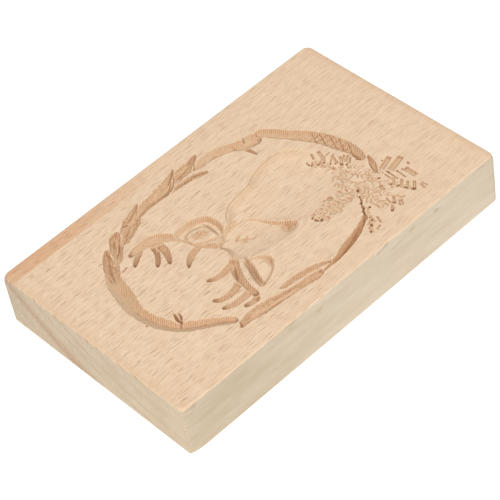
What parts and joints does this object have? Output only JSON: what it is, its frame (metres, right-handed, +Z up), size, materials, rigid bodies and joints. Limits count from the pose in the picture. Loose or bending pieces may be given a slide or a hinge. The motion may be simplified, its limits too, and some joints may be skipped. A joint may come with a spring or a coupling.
{
  "type": "cookie mould",
  "caption": "Flat rectangular beech board with a stag's head in an oval twig wreath cut into one face, for pressing a raised picture into dough.",
  "frame": {"origin": "centre of the flat underside", "axes": "+Z up, out of the carved face; +Y along the grain and the board's length, towards the stag's antlers; +X across the board, towards the side that the stag looks away from"},
  "size_m": [0.09, 0.145, 0.022],
  "materials": {
    "beech": "sanded, unfinished"
  },
  "bodies": {
    "root": {"mould_board": "beech"}
  },
  "joints": []
}
